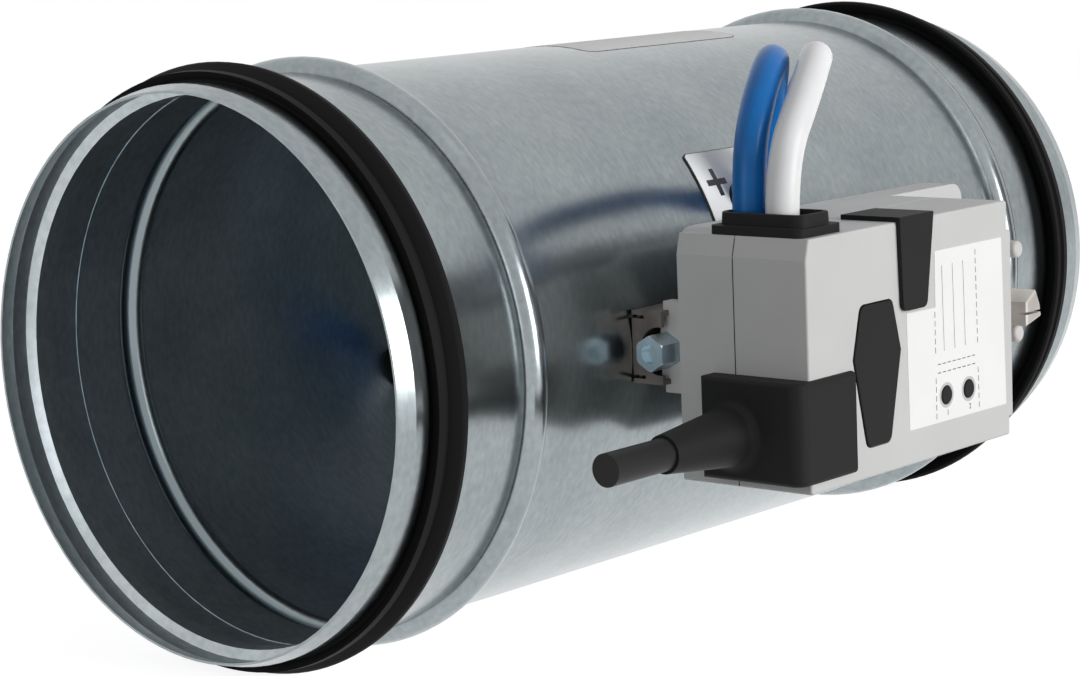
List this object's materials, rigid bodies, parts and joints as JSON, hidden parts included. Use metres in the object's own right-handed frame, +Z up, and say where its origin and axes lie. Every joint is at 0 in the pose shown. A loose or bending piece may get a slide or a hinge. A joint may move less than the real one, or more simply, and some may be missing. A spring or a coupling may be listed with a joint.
{
  "type": "variable air volume damper",
  "caption": "Round duct damper with lipped spigots, stop beads, a clamp-on actuator and controller, sensor hoses to an air flow probe, and a disc blade that opens by a quarter turn.",
  "frame": {"origin": "on the duct's axis, where the inlet spigot's cylindrical land begins behind its lead-in lip", "axes": "+X along the duct with the air, +Z up, the actuator on the -Y side with the blade's shaft along Y"},
  "size_m": [0.3349, 0.2271, 0.169],
  "materials": {
    "galv": "galvanised, spangled",
    "rubber_black": "matt",
    "seal_rubber": "matt",
    "steel_zinc": "zinc plated",
    "bracket_steel": "dull zinc",
    "plastic_black": "fine texture",
    "tube_aluminium": "satin",
    "hose_blue": "satin",
    "hose_white": "satin",
    "plastic_light": "fine texture",
    "cable_black": "satin",
    "board_green": "satin"
  },
  "bodies": {
    "casing": {"duct_casing": "galv", "gasket_inlet": "rubber_black", "gasket_outlet": "rubber_black", "grommet_near": "rubber_black", "grommet_far": "rubber_black", "gear_arbor": "steel_zinc", "motor": "steel_zinc", "motor_plate": "steel_zinc", "torque_stud": "steel_zinc", "console_bracket": "bracket_steel", "bush_near": "plastic_black", "bush_far": "plastic_black", "probe_clip_near": "plastic_black", "probe_clip_far": "plastic_black", "probe_plug": "plastic_black", "probe_elbow": "plastic_black", "probe_tee": "plastic_black", "tap_plus": "plastic_black", "tap_minus": "plastic_black", "service_cover": "plastic_black", "hose_gland": "plastic_black", "cable_boot": "plastic_black", "switch_body_1": "plastic_black", "switch_body_2": "plastic_black", "pressure_sensor": "plastic_black", "probe_plus_front": "tube_aluminium", "probe_plus_rear": "tube_aluminium", "probe_minus": "tube_aluminium", "hose_blue": "hose_blue", "inner_hose_plus": "hose_blue", "u_hose": "hose_blue", "hose_white": "hose_white", "inner_hose_minus": "hose_white", "gear_case": "plastic_light", "gear_case_cover": "plastic_light", "housing_middle": "plastic_light", "housing_front": "plastic_light", "end_strip": "plastic_light", "torque_fork": "plastic_light", "release_guide": "plastic_light", "board_posts": "plastic_light", "cable_stub": "cable_black", "circuit_board": "board_green"},
    "damper_blade": {"shaft": "steel_zinc", "blade_plate_upstream": "galv", "blade_plate_downstream": "galv", "blade_seal": "seal_rubber", "blade_rivets": "galv", "blade_bolts": "steel_zinc", "blade_nuts": "steel_zinc", "output_hub": "plastic_light", "clamp_yoke": "steel_zinc", "clamp_bolt": "steel_zinc", "clamp_nut": "steel_zinc", "clamp_lug": "steel_zinc"},
    "wheel": {"gear_wheel": "plastic_light"},
    "motor_rotor": {"motor_pinion": "plastic_light"},
    "release": {"release_button": "plastic_black"},
    "push_1": {"push_button_1": "plastic_black"},
    "push_2": {"push_button_2": "plastic_black"}
  },
  "joints": [
    {"name": "blade_turn", "type": "hinge", "parent": "casing", "child": "damper_blade", "pos_m": [0.2038, 0, 0], "axis": [0, -1, 0], "range_deg": [0, 90]},
    {"name": "wheel_turn", "type": "hinge", "parent": "casing", "child": "wheel", "pos_m": [0.1782, 0, 0], "axis": [0, -1, 0], "range_deg": [-391, 1]},
    {"name": "motor_turn", "type": "hinge", "parent": "casing", "child": "motor_rotor", "pos_m": [0.159, 0, 0], "axis": [0, -1, 0], "range_deg": [-1, 1171]},
    {"name": "release_press", "type": "slide", "parent": "casing", "child": "release", "axis": [0, 1, 0], "range_m": [0, 0.0025], "stiffness_N_per_m": 400},
    {"name": "push_1_press", "type": "slide", "parent": "casing", "child": "push_1", "axis": [0, 1, 0], "range_m": [0, 0.0005], "stiffness_N_per_m": 800},
    {"name": "push_2_press", "type": "slide", "parent": "casing", "child": "push_2", "axis": [0, 1, 0], "range_m": [0, 0.0005], "stiffness_N_per_m": 800}
  ],
  "couplings": [
    {"joint": "wheel_turn", "follows": "blade_turn", "ratio": -4.3333},
    {"joint": "motor_turn", "follows": "blade_turn", "ratio": 13}
  ]
}
